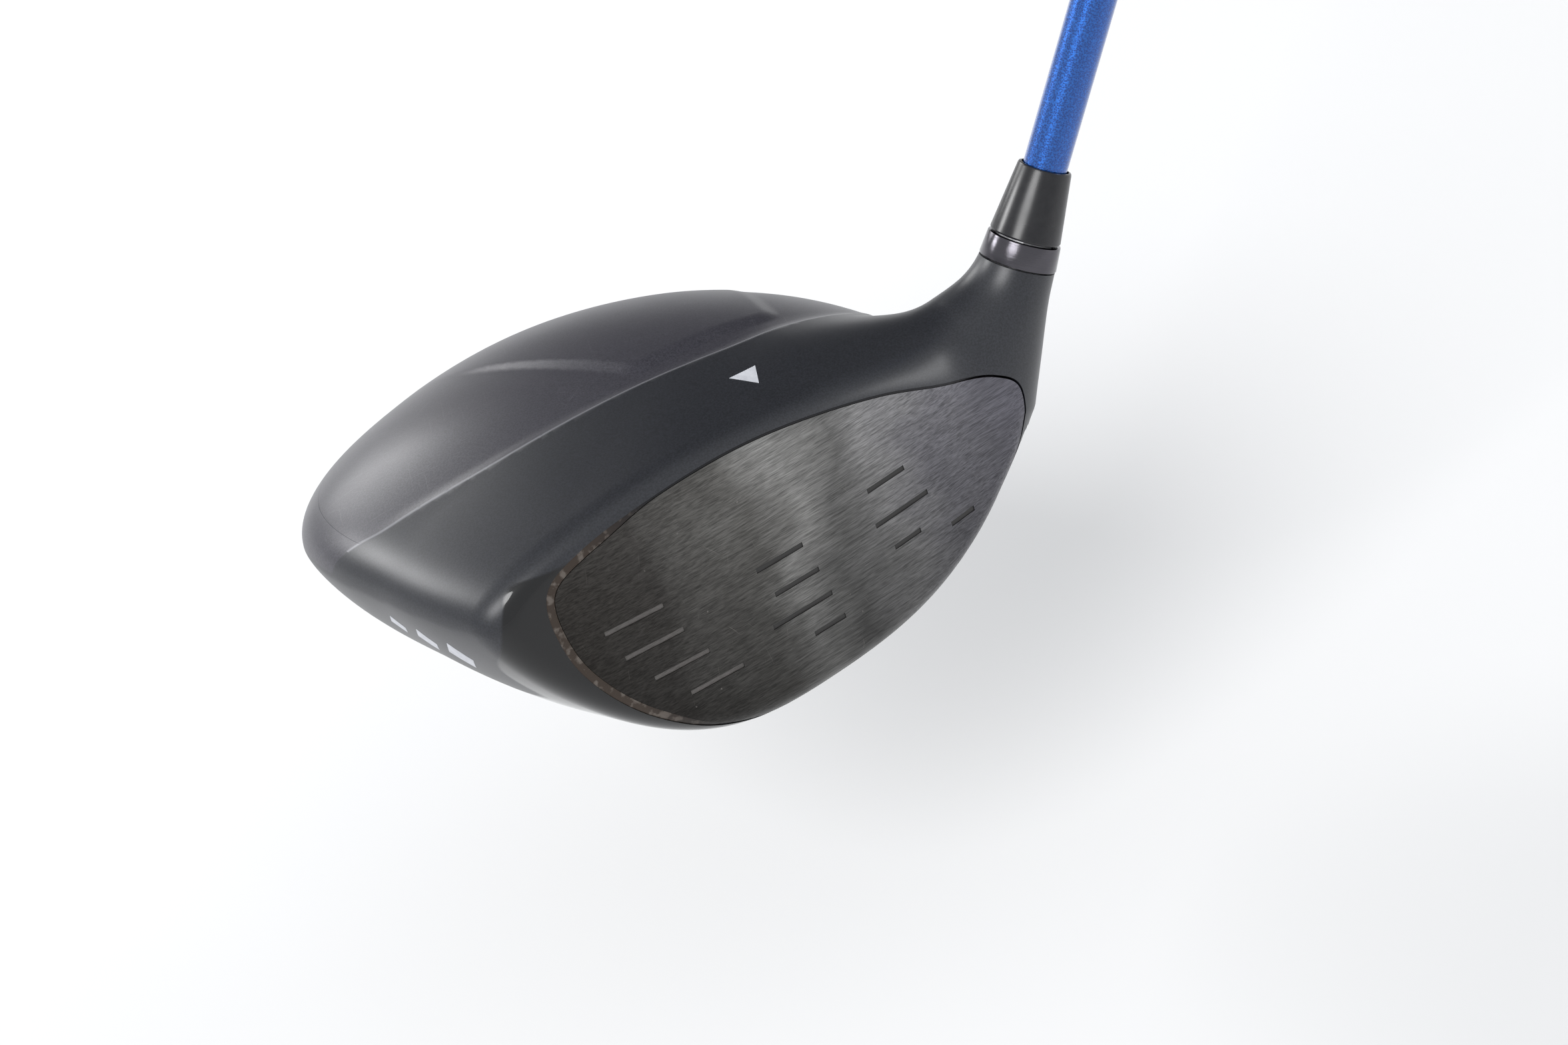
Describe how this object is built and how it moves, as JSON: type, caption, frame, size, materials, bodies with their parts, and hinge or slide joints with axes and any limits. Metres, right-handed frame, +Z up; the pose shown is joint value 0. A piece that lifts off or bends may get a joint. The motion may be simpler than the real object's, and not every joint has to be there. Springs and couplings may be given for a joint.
{
  "type": "golf driver",
  "caption": "Adjustable right-handed golf driver: hollow head with bonded crown, milled face, screw-in sole weights and a shaft on a removable hosel adapter.",
  "frame": {"origin": "centre of the small flat on the sole where the head meets the ground at address", "axes": "+Z up, -Y the way the face looks and the ball goes, +X towards the heel and the hosel"},
  "size_m": [0.7141, 0.1078, 0.9842],
  "materials": {
    "satin": "satin",
    "crown": "satin",
    "gloss": "gloss",
    "face": "brushed",
    "shaft": "gloss",
    "ferrule": "satin",
    "ring": "polished",
    "steel": "machined",
    "tungsten": "satin",
    "alloy": "machined",
    "rubber": "matte",
    "foam": "matte",
    "tape": "matte"
  },
  "bodies": {
    "club": {"shaft": "shaft", "grip": "rubber", "grip_tape": "tape", "grip_cap": "rubber", "tip_plug": "rubber", "ferrule": "ferrule", "adapter_ring": "ring", "adapter_sleeve": "alloy", "thread_insert": "alloy"},
    "head": {"head_body": "satin", "face_plate": "face", "crown_panel": "crown", "sole_panel": "gloss", "rattle_glue": "foam"},
    "screw_slider": {"screw_washer": "steel"},
    "screw": {"hosel_screw": "steel"},
    "toe_slider": {"toe_gasket": "rubber"},
    "toe_plug": {"toe_weight": "tungsten"},
    "heel_slider": {"heel_gasket": "rubber"},
    "heel_plug": {"heel_weight": "tungsten"},
    "rear_slider": {"rear_gasket": "rubber"},
    "rear_plug": {"rear_weight": "tungsten"}
  },
  "joints": [
    {"name": "head_release", "type": "slide", "parent": "club", "child": "head", "axis": [-0.5255, 0, -0.8508], "range_m": [0, 0.046]},
    {"name": "hosel_screw_travel", "type": "slide", "parent": "head", "child": "screw_slider", "axis": [-0.5255, 0, -0.8508], "range_m": [0, 0.0112]},
    {"name": "hosel_screw_turn", "type": "hinge", "parent": "screw_slider", "child": "screw", "pos_m": [0.03973, -0.0229, 0.01326], "axis": [-0.5255, 0, -0.8508], "range_deg": [0, 5041]},
    {"name": "toe_weight_travel", "type": "slide", "parent": "head", "child": "toe_slider", "axis": [-0.5328, -0.081, -0.8424], "range_m": [0, 0.007]},
    {"name": "toe_weight_turn", "type": "hinge", "parent": "toe_slider", "child": "toe_plug", "pos_m": [-0.04, 0, 0.00904], "axis": [-0.5328, -0.081, -0.8424], "range_deg": [0, 2521]},
    {"name": "heel_weight_travel", "type": "slide", "parent": "head", "child": "heel_slider", "axis": [0.3806, 0.0539, -0.9232], "range_m": [0, 0.007]},
    {"name": "heel_weight_turn", "type": "hinge", "parent": "heel_slider", "child": "heel_plug", "pos_m": [0.036, 0.009, 0.00648], "axis": [0.3806, 0.0539, -0.9232], "range_deg": [0, 2521]},
    {"name": "rear_weight_travel", "type": "slide", "parent": "head", "child": "rear_slider", "axis": [-0.0473, 0.4418, -0.8959], "range_m": [0, 0.007]},
    {"name": "rear_weight_turn", "type": "hinge", "parent": "rear_slider", "child": "rear_plug", "pos_m": [-0.003, 0.05, 0.00997], "axis": [-0.0473, 0.4418, -0.8959], "range_deg": [0, 2521]}
  ],
  "couplings": [
    {"joint": "hosel_screw_turn", "follows": "hosel_screw_travel", "rad_per_m": 7854},
    {"joint": "toe_weight_turn", "follows": "toe_weight_travel", "rad_per_m": 6283.2},
    {"joint": "heel_weight_turn", "follows": "heel_weight_travel", "rad_per_m": 6283.2},
    {"joint": "rear_weight_turn", "follows": "rear_weight_travel", "rad_per_m": 6283.2}
  ]
}
